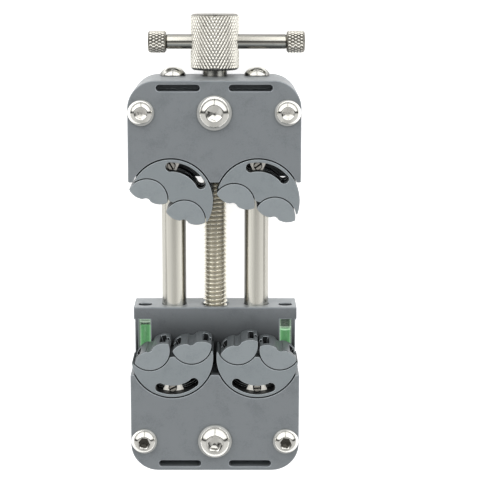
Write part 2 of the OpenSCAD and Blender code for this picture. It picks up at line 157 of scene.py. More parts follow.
def anodised(name, colour, spread, rough, painted_shade=None):
    """Blasted, anodised aluminium: a fine grain over faint clouds, satin all over.

    painted_shade is (y, y, share): painted shade darkens the colour from the second y to the
    first, down to share.
    """
    finish, tree, skin = blank_finish(name)
    dark = [c - spread for c in colour]
    light = [c + spread for c in colour]
    clouds = speckle(tree, 140, 3)
    grain = speckle(tree, 2600, 4)
    both = reckoned(tree, "ADD", clouds, grain)
    tint = shaded(tree, both, paint(*dark), paint(*light), 0.75, 1.25)
    if painted_shade:
        darkest_y, plain_y, share = painted_shade
        shade_factor = between(tree, parts_of(tree)[1], share, 1, darkest_y, plain_y)
        tint = joined(tree, "ShaderNodeVectorMath", {0: tint, "Scale": shade_factor}, operation="SCALE")
    surfaced(tree, skin, tint, between(tree, grain, rough - 0.05, rough + 0.06), grain,
             0.16, 0.05 * MM, 0.3)
    skin.inputs["Specular IOR Level"].default_value = 0.3
    return finish


def stood(name, data):
    """A new object in the scene."""
    thing = bpy.data.objects.new(name, data)
    bpy.context.scene.collection.objects.link(thing)
    return thing


def worked(thing, *tools):
    """The mesh of an object with its modifiers applied; the object and its tools then go."""
    now = bpy.context.evaluated_depsgraph_get()
    mesh = bpy.data.meshes.new_from_object(thing.evaluated_get(now))
    for used in (thing, *tools):
        bpy.data.objects.remove(used)
    return mesh


def softened(mesh, angle=SHARP):
    """Smooth shading, but for the edges that are sharper than an angle."""
    mesh.shade_smooth()
    mesh.set_sharp_from_angle(angle=angle)
    return mesh


def put(name, mesh, body, finishes, nodes=()):
    """Makes an object of a mesh that is in place, gives it its finishes and seats it."""
    piece = stood(name, mesh)
    marks = [face.material_index for face in mesh.polygons]
    mesh.materials.clear()
    for finish in finishes:
        mesh.materials.append(finish)
    mesh.polygons.foreach_set("material_index", marks)
    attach(piece, body)
    if nodes:
        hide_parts(*nodes)
    return piece


def milled(name, node, body, finishes, edge, marked, tips=None):
    """A CAD block with its sharp edges broken; the little flats on them take finish 1, lighter as
    a painted highlight, but marked names the upright ones again.

    marked names the finish of a face from its centre, its normal and the way across the
    hollow in front of it, 0 for a face that reaches neither the top nor the bottom. tips
    rounds upright edges that are keener than a right angle.
    """
    shape = bmesh.new()
    shape.from_mesh(frame["nodes"][node].data)
    bmesh.ops.remove_doubles(shape, verts=shape.verts, dist=MERGED)
    bmesh.ops.dissolve_limit(shape, angle_limit=COPLANAR, verts=shape.verts, edges=shape.edges)
    keen = [e for e in shape.edges if tips and len(e.link_faces) == 2
            and e.calc_face_angle_signed(0) > KEEN
            and hypot(*(e.verts[0].co - e.verts[1].co).xy) < MERGED]
    if keen:
        bmesh.ops.bevel(shape, geom=keen, offset=tips, segments=TIP_STEPS, profile=0.5,
                        affect="EDGES")
    shape.normal_update()
    walls = BVHTree.FromBMesh(shape)
    low, high = (pick(v.co.z for v in shape.verts) for pick in (min, max))
    for side in shape.faces:
        middle = side.calc_center_median()
        met = walls.ray_cast(middle + side.normal * RAY_START, side.normal, HOLLOW)[3]
        inside = all(low + RIM < v.co.z < high - RIM for v in side.verts)
        side.material_index = marked(middle, side.normal, 0 if inside else met or HOLLOW)
    mesh = bpy.data.meshes.new(name)
    shape.to_mesh(mesh)
    shape.free()
    for finish in finishes:
        mesh.materials.append(finish)
    blank = stood("blank", softened(mesh))
    broken = blank.modifiers.new("broken edges", "BEVEL")
    broken.limit_method = "ANGLE"
    broken.angle_limit = SHARP
    broken.width = edge
    broken.segments = EDGE_STEPS
    broken.use_clamp_overlap = False
    broken.harden_normals = True
    broken.material = 1
    done = worked(blank)
    for flat in done.polygons:
        if flat.material_index == 1 and abs(flat.normal.z) < STEEP:
            flat.material_index = marked(flat.center, flat.normal, HOLLOW)
    return put(name, done, body, finishes, (node,))


def plain_mark(middle, normal, across):
    """The same finish all over."""
    return 0


def pivot(body):
    """Where the axis stands on which a body turns."""
    return next(Vector(joint["pos_m"]) for joint in frame["joints"] if joint["child"] == body)


def plate_mark(place):
    """Painted shade in the seats of the rockers."""
    turning = pivot(f"{place}_rocker_right")
    seat_x = turning.x - SEAT_IN
    seat_y = turning.y + (SEAT_IN if place == "head" else -SEAT_IN)

    def mark(middle, normal, across):
        seated = hypot(abs(middle.x) - seat_x, middle.y - seat_y) < SEAT_R
        return 2 if seated and abs(normal.z) < STEEP else 0
    return mark


plate_finish = anodised("plate_anodised", PLATE_GREY, 5, 0.38)
edge_highlight_finish = anodised("edge_anodised", EDGE_HIGHLIGHT_GREY, 5, 0.34)
recess_shade_finish = anodised("recess_shade_anodised", RECESS_SHADE_GREY, 4, 0.5)
plate_finishes = (plate_finish, edge_highlight_finish, recess_shade_finish)
milled("head_block", "head_base", "head", plate_finishes, BLOCK_EDGE,
       plain_mark)
milled("head_plate", "head_jaw_plate", "head", plate_finishes, BLOCK_EDGE,
       plate_mark("head"))

# Slide: base block, flange and jaw plate
# The same two blocks once more, but the base runs on into an apron with a flange across it.
# Windows in the apron show the level vials, and bores in the flange let them in.


def span(node, axis):
    """The lowest and highest place of a CAD node along an axis, to the micrometre."""
    low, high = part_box(node)
    return round(low[axis], 6), round(high[axis], 6)


def centre(node, axis):
    """The middle of a CAD node along an axis."""
    return sum(span(node, axis)) / 2


# Painted light: faces that look along +y, such as the flange's face, are a lighter grey
FLANGE_LIT_GREY = (143, 148, 152)
FLANGE_Y = span("slide_base", 1)[1]
# Painted shade of the jaws on the apron: darkest at the first place, down to a share, and plain
# grey at the second
APRON_SHADE = (FLANGE_Y - 15.7 * MM, FLANGE_Y + 1.3 * MM, 0.12)
VIAL_X, VIAL_Z = (centre("vial_tube_right", axis) for axis in (0, 2))
VIAL_START, VIAL_STOP = span("vial_tube_right", 1)
# Faces within this radius of a vial's axis are its bore, up to just inside the flange's face
VIAL_HOLE_R = 3.2 * MM
VIAL_MOUTH = 0.2 * MM


def slide_mark(middle, normal, across):
    """Painted shade in the vials' bores and windows, painted light on faces that look along +y
    such as the flange's face, and the apron's painted shade on the upper side.
    """
    beside = hypot(abs(middle.x) - VIAL_X, middle.z - VIAL_Z) < VIAL_HOLE_R
    if beside and VIAL_START - RIM < middle.y < FLANGE_Y - VIAL_MOUTH:
        return 2
    if normal.y > FLAT:
        return 4
    return 3 if normal.z > FLAT else 0


apron_shade_finish = anodised("apron_shade_anodised", PLATE_GREY, 5, 0.42, APRON_SHADE)
flange_lit_finish = anodised("flange_lit_anodised", FLANGE_LIT_GREY, 5, 0.38)
milled("slide_block", "slide_base", "slide",
       (*plate_finishes, apron_shade_finish, flange_lit_finish), BLOCK_EDGE, slide_mark)
milled("slide_plate", "slide_jaw_plate", "slide", plate_finishes, BLOCK_EDGE,
       plate_mark("slide"))

# Rockers
# Half-discs milled from the same aluminium but blasted finer, so they look lighter.
# Each swings in its jaw plate on a tongue, and a curved slot shows tongue and pin.

JAW_GREY = (138, 145, 149)
# Painted highlight: the flats of the jaws' broken edges are a lighter grey
JAW_RIM_HIGHLIGHT_GREY = (158, 165, 169)
# Painted shade: upright faces of rockers and jaws are a deeper grey
FLANK_SHADE_GREY = (100, 105, 108)
# Painted shade: narrow hollows and slanting walls are almost black
HOLLOW_SHADE_GREY = (34, 36, 38)
JAW_EDGE = 0.28 * MM
ROCKER_TIP = 0.9 * MM
# Hollows narrower than SLOT_W take painted shade; a face under UPRIGHT stands straight up
SLOT_W = 4.6 * MM
UPRIGHT = 0.2


def jaw_mark(middle, normal, across):
    """Painted shade: dark in narrow hollows and on slanting walls, and a deeper grey on upright
    faces.
    """
    if across < SLOT_W or UPRIGHT < abs(normal.z) < STEEP:
        return 2
    return 3 if abs(normal.z) < UPRIGHT else 0


jaw_finish = anodised("jaw_anodised", JAW_GREY, 4, 0.36)
jaw_rim_highlight_finish = anodised("jaw_edge_anodised", JAW_RIM_HIGHLIGHT_GREY, 4, 0.32)
flank_shade_finish = anodised("flank_shade_anodised", FLANK_SHADE_GREY, 4, 0.4)
hollow_shade_finish = anodised("hollow_shade_anodised", HOLLOW_SHADE_GREY, 3, 0.5)
for place in ("head", "slide"):
    for hand in ("left", "right"):
        node = f"{place}_rocker_{hand}"
        milled(f"{place}_half_disc_{hand}", node, node,
               (jaw_finish, jaw_rim_highlight_finish, hollow_shade_finish, flank_shade_finish), JAW_EDGE, jaw_mark,
               ROCKER_TIP)

# Small lobed jaws
# Each rocker carries two small discs cut off to a pair of gripping lobes with a notch
# between them; a T-slot round the rim runs on a steel key and shows as a window darkened by
# painted shade.

LOBE_GREY = (145, 152, 156)

lobe_finish = anodised("lobe_anodised", LOBE_GREY, 4, 0.36)
for place in ("head", "slide"):
    for number in range(1, 5):
        node = f"{place}_jaw_{number}"
        milled(f"{place}_lobed_jaw_{number}", node, node,
               (lobe_finish, jaw_rim_highlight_finish, hollow_shade_finish, flank_shade_finish), JAW_EDGE, jaw_mark)

# Guide rods
# Two ground steel rods, nickel-plated and polished along their length. Each is held in the
# head by a screw in its end, and runs free in the slide.

ROD_R = 5 * MM
ROD_EDGE = 0.8 * MM
ROD_START, ROD_STOP = span("guide_rod_right", 1)
ROD_X = span("guide_rod_right", 0)[1] - ROD_R
AXIS_Z = centre("guide_rod_right", 2)
ROUND = 96
# Painted reflections: greys across the rod, from the side toward the lead screw to the outer one
ROD_REFLECTION_BANDS = [(-1, 95), (-0.86, 100), (-0.72, 200), (-0.6, 254), (-0.45, 240), (-0.3, 226),
             (-0.1, 222), (0.12, 224), (0.34, 226), (0.5, 234), (0.62, 190), (0.8, 176), (1, 180)]


def polished(name, colour, rough, stretch, scratch=0.05):
    """Bright plated steel with hair lines: stretch is small along the lines."""
    finish, tree, skin = blank_finish(name)
    hair = speckle(tree, 900, 3, stretch)
    clouds = speckle(tree, 90, 2)
    dark = [c * 0.93 for c in colour]
    surfaced(tree, skin, shaded(tree, clouds, paint(*dark), paint(*colour)),
             between(tree, hair, rough * 0.7, rough * 1.4), hair, scratch, 0.04 * MM)
    return finish


def reflection_banded(name, axis, middle, radius, reflection_bands, rough, mirrored=False):
    """Drawn and polished bar whose reflections are painted: greys run along it, by where they
    lie across its width.

    axis is the coordinate across the bar, and reflection_bands is a list of (place, grey)
    with places from -1 to 1.
    """
    finish, tree, skin = blank_finish(name)
    across = parts_of(tree)[axis]
    if mirrored:
        across = reckoned(tree, "ABSOLUTE", across)
    drawn = speckle(tree, 420, 2, [1 if n == axis else 0.03 for n in range(3)])
    waver = between(tree, drawn, -0.06, 0.06)
    spot = between(tree, across, -1, 1, middle - radius, middle + radius)
    spot = between(tree, reckoned(tree, "ADD", spot, waver), 0, 1, -1, 1)
    ramp = tree.nodes.new("ShaderNodeValToRGB")
    stops = ramp.color_ramp.elements
    while len(stops) < len(reflection_bands):
        stops.new(1)
    for stop, (place, grey) in zip(stops, reflection_bands):
        stop.position = (place + 1) / 2
        stop.color = paint(grey, grey * 0.99, grey * 0.95)
    tree.links.new(spot, ramp.inputs[0])
    surfaced(tree, skin, ramp.outputs[0], between(tree, drawn, rough * 0.8, rough * 1.3), drawn,
             0.04, 0.04 * MM)
    return finish


def bar_rings(radius, length, edge):
    """Rings of a plain round bar with broken ends."""
    return [(0, 0), (radius - edge, 0), (radius, edge), (radius, length - edge),
            (radius - edge, length), (0, length)]


def lathe(rings, count=ROUND):
    """A closed turned shape along +z; a ring's radius is a number or depends on the angle."""
    shape = bmesh.new()
    loops = []
    for radius, height in rings:
        if radius == 0:
            loops.append([shape.verts.new((0, 0, height))])
            continue
        loop = []
        for n in range(count):
            turn = tau * n / count
            r = radius(turn) if callable(radius) else radius
            loop.append(shape.verts.new((r * cos(turn), r * sin(turn), height)))
        loops.append(loop)
    for low, high in zip(loops, loops[1:]):
        for n in range(count):
            m = (n + 1) % count
            if len(low) == 1:
                shape.faces.new((low[0], high[m], high[n]))
            elif len(high) == 1:
                shape.faces.new((low[n], low[m], high[0]))
            else:
                shape.faces.new((low[n], low[m], high[m], high[n]))
    bmesh.ops.recalc_face_normals(shape, faces=shape.faces)
    return shape


def kept(shape, name, place=None):
    """The mesh of a shape, softened and moved to its place."""
    mesh = bpy.data.meshes.new(name)
    shape.to_mesh(mesh)
    shape.free()
    if place:
        mesh.transform(place)
    return softened(mesh)


def along_y(x, y, z):
    """Lays what stands along +z down to run along +y from a point."""
    return Matrix.Translation((x, y, z)) @ Matrix.Rotation(-pi / 2, 4, "X")


rod_reflection_finish = reflection_banded("rod_painted_reflections", 0, ROD_X, ROD_R, ROD_REFLECTION_BANDS, 0.2, mirrored=True)
for side, hand in ((-1, "left"), (1, "right")):
    mesh = kept(lathe(bar_rings(ROD_R, ROD_STOP - ROD_START, ROD_EDGE)), f"rod_{hand}",
                along_y(side * ROD_X, ROD_START, AXIS_Z))
    put(f"rod_{hand}", mesh, "head", (rod_reflection_finish,), (f"guide_rod_{hand}",))

# Button-head screws
# Nickel-plated steel screws with domed heads and hexagon sockets: a large one in the middle
# of each jaw plate, a smaller one to each side of it, and one in the end of each rod.

# Radius and height of the domed heads
LARGE_HEAD = (7 * MM, 4.4 * MM)
SMALL_HEAD = (5.25 * MM, 3.3 * MM)
PLATE_TOP = span("head_jaw_plate", 2)[1]
HEAD_END = span("head_base", 1)[1]
SCREW_Y = {place: centre(f"{place}_centre_screw", 1) for place in ("head", "slide")}
OUTER_X = -span("head_outer_screws", 0)[0] - SMALL_HEAD[0]
DOME_STEPS = 10
# Shares of a head: its rim's height, its flat crown, the socket's depth, its eased edges
RIM_SHARE = 0.2
CROWN_SHARE = 0.52
SOCKET_SHARE = 0.6
EASED_SHARE = 0.04
# Depth of the cone that the drill leaves, as a share of the socket's width
CONE_SHARE = 0.2
# What is in the socket lies within a share of its mouth and under its broken edge
MOUTH_SHARE = 0.96
SOCKET_EDGE = MM / 3
# Parts of the normal at which the dome's painted glow begins, reaches its height, fades and is
# gone again
DOME_LIT = (0.3, 0.42, 0.6, 0.72)
# Parts of the normal, to the left or right, between which an end screw darkens with painted shade
DOME_SHADED = (0.5, 0.85)
# How the sockets are turned, in radians, and the painted light and shade of the small ones' walls
# and bottom, which differ between head and slide
SOCKET_TURN = {"head": 0.15, "slide": 0.4}
SOCKET_SHADES = {"head": ((150, 148, 142), (226, 224, 218)),
                  "slide": ((205, 202, 196), (80, 78, 73))}


def hexagon(across):
    """The radius of a hexagon at an angle, from its width across the flats."""
    return lambda turn: across / 2 / cos((turn + pi / 6) % (pi / 3) - pi / 6)


def button_rings(head, socket, shank_r, shank_l):
    """From the tip of the shank over the dome into the socket."""
    head_r, head_h = head
    rim = RIM_SHARE * head_h
    crown = CROWN_SHARE * head_r
    eased = EASED_SHARE * head_r
    middle = (head_r ** 2 - crown ** 2 + rim ** 2 - head_h ** 2) / (2 * (rim - head_h))
    dome = hypot(head_r, rim - middle)
    rings = [(0, -shank_l), (shank_r - eased, -shank_l), (shank_r, eased - shank_l), (shank_r, 0),
             (head_r - eased, 0), (head_r, eased), (head_r, rim - eased / 2)]
    for n in range(1, DOME_STEPS + 1):
        r = head_r + (crown - head_r) * n / DOME_STEPS
        rings.append((r, middle + sqrt(dome ** 2 - r ** 2)))
    corner = socket / sqrt(3)
    bottom = head_h * (1 - SOCKET_SHARE)
    rings += [(crown - eased, head_h), (corner + eased, head_h),
              (hexagon(socket), head_h - eased), (hexagon(socket), bottom),
              (0, bottom - socket * CONE_SHARE)]
    return rings


def seated_heads(name):
    """Geometry Nodes that set one screw on every point of a mesh, by a named turn."""
    tree = bpy.data.node_groups.new(name, "GeometryNodeTree")
    tree.is_modifier = True
    ports = tree.interface
    ports.new_socket("Holes", in_out="INPUT", socket_type="NodeSocketGeometry")
    ports.new_socket("Screw", in_out="INPUT", socket_type="NodeSocketObject")
    ports.new_socket("Turn", in_out="INPUT", socket_type="NodeSocketVector")
    ports.new_socket("Screws", in_out="OUTPUT", socket_type="NodeSocketGeometry")
    given = tree.nodes.new("NodeGroupInput").outputs
    screw = joined(tree, "GeometryNodeObjectInfo", {"Object": given["Screw"]}, out="Geometry")
    turn = joined(tree, "FunctionNodeEulerToRotation", {0: given["Turn"]})
    points = joined(tree, "GeometryNodeMeshToPoints", {"Mesh": given["Holes"]})
    seated = joined(tree, "GeometryNodeInstanceOnPoints",
                    {"Points": points, "Instance": screw, "Rotation": turn}, out="Instances")
    real = joined(tree, "GeometryNodeRealizeInstances", {"Geometry": seated})
    tree.links.new(real, tree.nodes.new("NodeGroupOutput").inputs[0])
    return tree


def grown(tree, start, settings):
    """The mesh that a tree grows from a starting mesh, with its named inputs set."""
    seed = stood("seed", start)
    nodes = seed.modifiers.new("grown", "NODES")
    nodes.node_group = tree
    for port in tree.interface.items_tree:
        if port.in_out == "INPUT" and port.name in settings:
            nodes[port.identifier] = settings[port.name]
    return worked(seed)


def domed_steel(name, axis, glow, share):
    """Plated steel with a painted light, a glow where its dome around an axis is steep, and
    painted shade down to a share where it faces left or right.
    """
    finish = polished(name, (224, 223, 218), 0.13, (1, 1, 1), 0.03)
    tree = finish.node_tree
    skin = tree.nodes["Principled BSDF"]
    facing = parts_of(tree, "Normal")
    steep = between(tree, facing[axis], glow, 0, *DOME_LIT[2:])
    wall = between(tree, facing[axis], 0, 1, *DOME_LIT[:2])
    tree.links.new(reckoned(tree, "MULTIPLY", steep, wall), skin.inputs["Emission Strength"])
    skin.inputs["Emission Color"].default_value = paint(252, 250, 244)
    plain = skin.inputs["Base Color"].links[0].from_socket
    side_shade = between(tree, reckoned(tree, "ABSOLUTE", facing[0]), 1, share, *DOME_SHADED)
    tree.links.new(joined(tree, "ShaderNodeVectorMath", {0: plain, "Scale": side_shade},
                          operation="SCALE"), skin.inputs["Base Color"])
    return finish


def screw_row(name, body, node, rings, holes, turn, finishes):
    """One node's screws, which all have the same rings and stand in the given holes.

    finishes are those of the screw and of its socket's walls and bottom.
    """
    pattern = stood("pattern", kept(lathe(rings), "pattern"))
    points = bpy.data.meshes.new("holes")
    points.from_pydata(holes, [], [])
    mesh = softened(grown(stand, points, {"Screw": pattern, "Turn": turn}))
    bpy.data.objects.remove(pattern)
    way = Euler(turn).to_matrix() @ Vector((0, 0, 1))
    mouth, head_h = rings[-4]
    for face in mesh.polygons:
        off = min((face.center - Vector(hole) for hole in holes), key=lambda gap: gap.length)
        along = off.dot(way)
        within = (off - along * way).length < mouth * MOUTH_SHARE
        if within and 0 < along < head_h - SOCKET_EDGE:
            face.material_index = 2 if face.normal.dot(way) > STEEP else 1
    put(name, mesh, body, finishes, (node,))


screw_finish = domed_steel("screw_plated", 2, 0.2, 1)
end_screw_finish = domed_steel("end_screw_plated", 1, 0, 0.2)
# Painted shade: the sockets' walls and bottoms are darker than the heads' plating
socket_shade_finish = polished("socket_walls_shade", (104, 102, 97), 0.3, (1, 1, 0.1), 0.1)
drilled_shade_finish = polished("socket_drilled_shade", (176, 174, 168), 0.26, (1, 1, 1), 0.1)
stand = seated_heads("seated screws")
centre_rings = button_rings(LARGE_HEAD, socket=5 * MM, shank_r=4 * MM, shank_l=20.9 * MM)
outer_rings = button_rings(SMALL_HEAD, socket=4 * MM, shank_r=3 * MM, shank_l=30 * MM)
end_rings = button_rings(SMALL_HEAD, socket=4 * MM, shank_r=3 * MM, shank_l=20 * MM)
for place in ("head", "slide"):
    turn = (0, 0, SOCKET_TURN[place])
    walls, bottom = (polished(f"{place}_socket_{part}", colour, 0.28, (1, 1, 1), 0.1)
                     for part, colour in zip(("walls", "floor"), SOCKET_SHADES[place]))
    screw_row(f"{place}_middle_screw", place, f"{place}_centre_screw", centre_rings,
              [(0, SCREW_Y[place], PLATE_TOP)], turn,
              (screw_finish, socket_shade_finish, screw_finish))
    screw_row(f"{place}_side_screws", place, f"{place}_outer_screws", outer_rings,
              [(side * OUTER_X, SCREW_Y[place], PLATE_TOP) for side in (-1, 1)], turn,
              (screw_finish, walls, bottom))
screw_row("rod_screws", "head", "rod_end_screws", end_rings,
          [(side * ROD_X, HEAD_END, AXIS_Z) for side in (-1, 1)], (-pi / 2, 0, 0),
          (end_screw_finish, socket_shade_finish, drilled_shade_finish))

# Lead screw
# A steel screw with a sharp thread, turned bright on the crests and rougher in the roots, which
# are darkened with painted shade. It runs from inside the slide through the head to the knob,
# and is plain next to the head.

SCREW_R = 5 * MM
SCREW_START, SCREW_STOP = span("lead_screw", 1)
NECK_START = 4.8 * MM
NECK_STOP = 10.2 * MM
NECK_R = 3.5 * MM
THREAD_PITCH = 1.75 * MM
THREAD_DEPTH = 1.0 * MM
THREAD_EDGE = 0.8 * MM
THREAD_ROUND = 48
THREAD_STEPS = 12
# How steep the flanks are, and how far the crests are cut flat
THREAD_SLOPE = 1.35
THREAD_FLAT = 0.15


def turned_tree(name, cut, ports):
    """Geometry Nodes for a turned bar along +z whose surface is cut by a repeating wave.

    cut returns how far below the outer radius the tool is, from the share of a turn and
    the height above the start.
    """
    tree = bpy.data.node_groups.new(name, "GeometryNodeTree")
    tree.is_modifier = True
    tree.interface.new_socket("Blank", in_out="INPUT", socket_type="NodeSocketGeometry")
    for port in ("Radius", "Length", "Edge", "Depth") + ports:
        tree.interface.new_socket(port, in_out="INPUT", socket_type="NodeSocketFloat")
    for port in ("Around", "Along"):
        tree.interface.new_socket(port, in_out="INPUT", socket_type="NodeSocketInt")
    tree.interface.new_socket("Bar", in_out="OUTPUT", socket_type="NodeSocketGeometry")
    given = tree.nodes.new("NodeGroupInput").outputs
    grid = joined(tree, "GeometryNodeMeshGrid", {
        "Size X": 1.0, "Size Y": 1.0, "Vertices X": reckoned(tree, "ADD", given["Around"], 1.0),
        "Vertices Y": reckoned(tree, "ADD", given["Along"], 3.0)})
    split = tree.nodes.new("ShaderNodeSeparateXYZ")
    tree.links.new(joined(tree, "GeometryNodeInputPosition"), split.inputs[0])
    turn = reckoned(tree, "ADD", split.outputs[0], 0.5)
    rows = reckoned(tree, "ADD", given["Along"], 2.0)
    row = reckoned(tree, "MULTIPLY", reckoned(tree, "ADD", split.outputs[1], 0.5), rows)
    share = reckoned(tree, "DIVIDE", reckoned(tree, "SUBTRACT", row, 1.0), given["Along"])
    share = joined(tree, "ShaderNodeClamp", {"Value": share})
    height = reckoned(tree, "MULTIPLY", share, given["Length"])
    wave = reckoned(tree, "MULTIPLY", cut(tree, turn, height, given), given["Depth"])
    radius = reckoned(tree, "SUBTRACT", given["Radius"], wave)
    lip = reckoned(tree, "SUBTRACT", given["Radius"], given["Edge"])
    left = reckoned(tree, "SUBTRACT", given["Length"], height)
    chamfer = reckoned(tree, "ADD", lip, reckoned(tree, "MINIMUM", height, left))
    radius = reckoned(tree, "MINIMUM", radius, chamfer)
    last = reckoned(tree, "SUBTRACT", rows, 0.5)
    inside = reckoned(tree, "MULTIPLY", reckoned(tree, "GREATER_THAN", row, 0.5),
                      reckoned(tree, "LESS_THAN", row, last))
    radius = reckoned(tree, "MULTIPLY", radius, inside)
    angle = reckoned(tree, "MULTIPLY", turn, tau)
    spot = joined(tree, "ShaderNodeCombineXYZ", {
        0: reckoned(tree, "MULTIPLY", radius, reckoned(tree, "COSINE", angle)),
        1: reckoned(tree, "MULTIPLY", radius, reckoned(tree, "SINE", angle)), 2: height})
    bent = joined(tree, "GeometryNodeSetPosition", {"Geometry": grid, "Position": spot})
    closed = joined(tree, "GeometryNodeMergeByDistance",
                    {"Geometry": bent, "Distance": 2 * MERGED})
    real = joined(tree, "GeometryNodeRealizeInstances", {"Geometry": closed})
    tree.links.new(real, tree.nodes.new("NodeGroupOutput").inputs[0])
    return tree


def groove(tree, phase):
    """A V across one phase: 1 at its ends and 0 in its middle."""
    fraction = reckoned(tree, "FRACT", phase)
    return reckoned(tree, "ABSOLUTE", reckoned(tree, "MULTIPLY_ADD", fraction, 2.0, -1.0))


def helix(tree, turn, height, given):
    """A V-thread with a narrow flat crest: 0 on the crest, 1 at the root."""
    turns = reckoned(tree, "DIVIDE", height, given["Pitch"])
    flank = groove(tree, reckoned(tree, "SUBTRACT", turns, turn))
    steep = reckoned(tree, "MULTIPLY_ADD", flank, THREAD_SLOPE, -THREAD_FLAT)
    return reckoned(tree, "MINIMUM", reckoned(tree, "MAXIMUM", steep, 0.0), 1.0)


def bar_mesh(tree, settings, place):
    """The mesh of a turned bar, faces outwards, moved to its place."""
    shape = bmesh.new()
    shape.from_mesh(grown(tree, bpy.data.meshes.new("blank"), settings))
    bmesh.ops.dissolve_degenerate(shape, edges=shape.edges, dist=MERGED)
    bmesh.ops.recalc_face_normals(shape, faces=shape.faces)
    return kept(shape, "bar", place)


def off_axis(tree, axis, spot):
    """The distance from a line that runs along an axis through a spot."""
    place = joined(tree, "ShaderNodeTexCoord", out="Object")
    moved = joined(tree, "ShaderNodeVectorMath", {0: place, 1: spot}, operation="SUBTRACT")
    flat = joined(tree, "ShaderNodeVectorMath",
                  {0: moved, 1: [0 if n == axis else 1 for n in range(3)]}, operation="MULTIPLY")
    return joined(tree, "ShaderNodeVectorMath", {0: flat}, out="Value", operation="LENGTH")


def threaded_steel(name):
    """Plated steel with painted shade in its roots, darker than its crests by distance from the
    axis.
    """
    finish, tree, skin = blank_finish(name)
    reach = off_axis(tree, 1, (0, 0, AXIS_Z))
    level = between(tree, reach, 0, 1, SCREW_R - THREAD_DEPTH, SCREW_R)
    mixed = reckoned(tree, "MULTIPLY", level, speckle(tree, 700, 3))
    tint = shaded(tree, mixed, paint(188, 183, 169), paint(248, 245, 234), 0.02, 0.4)
    ringed = speckle(tree, 900, 2, (0.05, 6, 0.05))
    surfaced(tree, skin, tint, between(tree, level, 0.42, 0.2, 0, 1), ringed, 0.08, 0.04 * MM)
    return finish


thread_finish = threaded_steel("thread_steel")
thread_l = NECK_START - SCREW_START
thread_mesh = bar_mesh(turned_tree("thread", helix, ("Pitch",)), {
    "Radius": SCREW_R, "Length": thread_l, "Edge": THREAD_EDGE, "Depth": THREAD_DEPTH,
    "Pitch": THREAD_PITCH, "Around": THREAD_ROUND,
    "Along": round(thread_l / THREAD_PITCH * THREAD_STEPS)}, along_y(0, SCREW_START, AXIS_Z))
put("lead_screw_thread", thread_mesh, "lead_screw", (thread_finish,),
    ("lead_screw",))

# Plain end of the lead screw
# Beyond the thread the screw has a turned neck, in which the head's screw keeps it, and a
# polished shank that goes on into the knob.

SHANK_EDGE = 0.3 * MM
SHANK_TIP = 0.8 * MM
# Painted reflections: greys across the shank, from left to right
SHANK_REFLECTION_BANDS = [(-1, 90), (-0.88, 95), (-0.8, 180), (-0.64, 110), (-0.42, 220), (-0.24, 180),
               (-0.08, 105), (0.12, 105), (0.32, 235), (0.5, 250), (0.66, 160), (0.8, 180),
               (0.88, 95), (1, 85)]

shank_reflection_finish = reflection_banded("shank_painted_reflections", 0, 0, SCREW_R, SHANK_REFLECTION_BANDS, 0.18)
shank_rings = [(0, NECK_START), (NECK_R, NECK_START), (NECK_R, NECK_STOP),
               (SCREW_R - SHANK_EDGE, NECK_STOP), (SCREW_R, NECK_STOP + SHANK_EDGE),
               (SCREW_R, SCREW_STOP - SHANK_TIP), (SCREW_R - SHANK_TIP, SCREW_STOP),
               (0, SCREW_STOP)]
shank_mesh = kept(lathe(shank_rings), "shank", along_y(0, 0, AXIS_Z))
put("lead_screw_shank", shank_mesh, "lead_screw", (shank_reflection_finish,))

# Knurled thumb knob
# A plated steel knob with a long diamond knurl rolled between two chamfers, bored across
# for the bar and pressed on the end of the lead screw.

KNOB_START, KNOB_STOP = span("thumb_knob", 1)
KNOB_R = 9.8 * MM
KNOB_EDGE = 0.9 * MM
KNOB_SHARP = radians(24)
KNURL_STEP = 1.4 * MM
KNURL_PITCH = 2.4 * MM
KNURL_DEPTH = 0.42 * MM
KNURL_SLOPE = 1.6
KNURL_POINTS = 6
# Painted shade in the knurl's grooves, and the colour of its points
KNURL_SHADES = ((96, 92, 84), (240, 238, 230))
# Twice this share is taken off one family of grooves on the left half of the knob and off the
# other on the right half; the turnover says how soon they change places
KNURL_LEAN = 0.36
KNURL_TURNOVER = 4.0
# Whole phases added so that no phase of a groove is negative
KNURL_AHEAD = 1000.0
# The bore for the bar runs past the knob's sides and widens at its mouths
BAR_Y = centre("tommy_bar", 1)
BAR_R = 3 * MM
BORE_R = 1.03 * BAR_R
MOUTH_R = 1.3 * BAR_R
MOUTH_FROM, MOUTH_TO, BORE_REACH = 0.9 * KNOB_R, 0.96 * KNOB_R, 1.2 * KNOB_R
SMALL_ROUND = 48


def diamonds(tree, turn, height, given):
    """Two families of V-grooves that cross: 0 on the points, 1 along the grooves."""
    starts = reckoned(tree, "MULTIPLY", turn, given["Starts"])
    rise = reckoned(tree, "DIVIDE", height, given["Pitch"])
    side = reckoned(tree, "COSINE", reckoned(tree, "MULTIPLY", turn, tau))
    side = reckoned(tree, "MAXIMUM", reckoned(tree, "MULTIPLY", side, KNURL_TURNOVER), -1.0)
    side = reckoned(tree, "MINIMUM", side, 1.0)
    rest = reckoned(tree, "SUBTRACT", 1.0, given["Lean"])
    cuts = []
    for way, lean in (("ADD", -1.0), ("SUBTRACT", 1.0)):
        phase = reckoned(tree, "ADD", reckoned(tree, way, starts, rise), KNURL_AHEAD)
        steep = reckoned(tree, "MULTIPLY_ADD", groove(tree, phase), KNURL_SLOPE,
                         1.0 - KNURL_SLOPE)
        bite = reckoned(tree, "MULTIPLY_ADD", reckoned(tree, "MULTIPLY", side, lean),
                        given["Lean"], rest)
        cuts.append(reckoned(tree, "MULTIPLY", reckoned(tree, "MAXIMUM", steep, 0.0), bite))
    return reckoned(tree, "MAXIMUM", *cuts)


